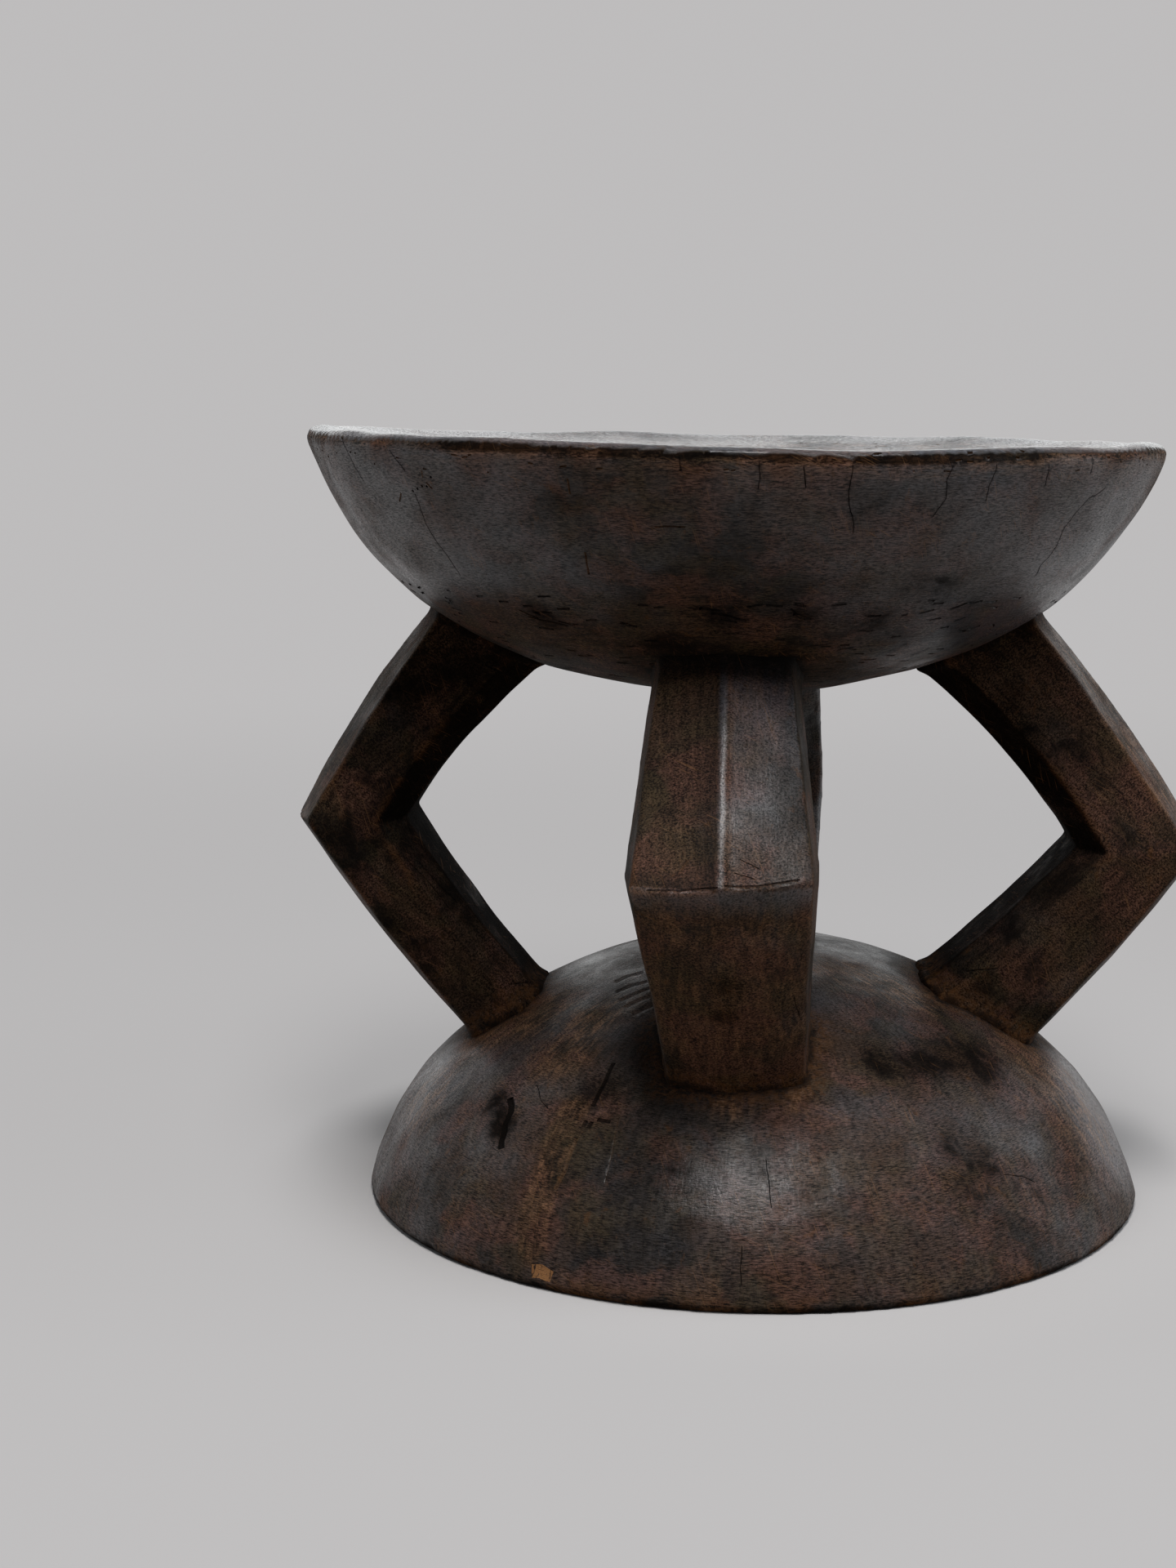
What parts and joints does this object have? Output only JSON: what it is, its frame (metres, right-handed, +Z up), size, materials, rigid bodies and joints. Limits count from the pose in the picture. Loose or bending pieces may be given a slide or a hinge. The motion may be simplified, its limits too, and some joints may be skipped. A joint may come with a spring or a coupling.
{
  "type": "carved stool",
  "caption": "Hand-carved wooden stool: a round dished bowl seat carried by bent faceted legs on a round domed base.",
  "frame": {"origin": "centre of the base's flat underside, on the floor", "axes": "+Z up, -Y towards the viewer of the picture, +X to the viewer's right"},
  "size_m": [0.359, 0.338, 0.3017],
  "materials": {
    "dark_wood": "dark brown, hand-polished and worn, with a dusty grey sheen"
  },
  "bodies": {
    "root": {"seat": "dark_wood", "base": "dark_wood", "front_leg": "dark_wood", "left_leg": "dark_wood", "right_leg": "dark_wood", "rear_leg": "dark_wood"}
  },
  "joints": []
}
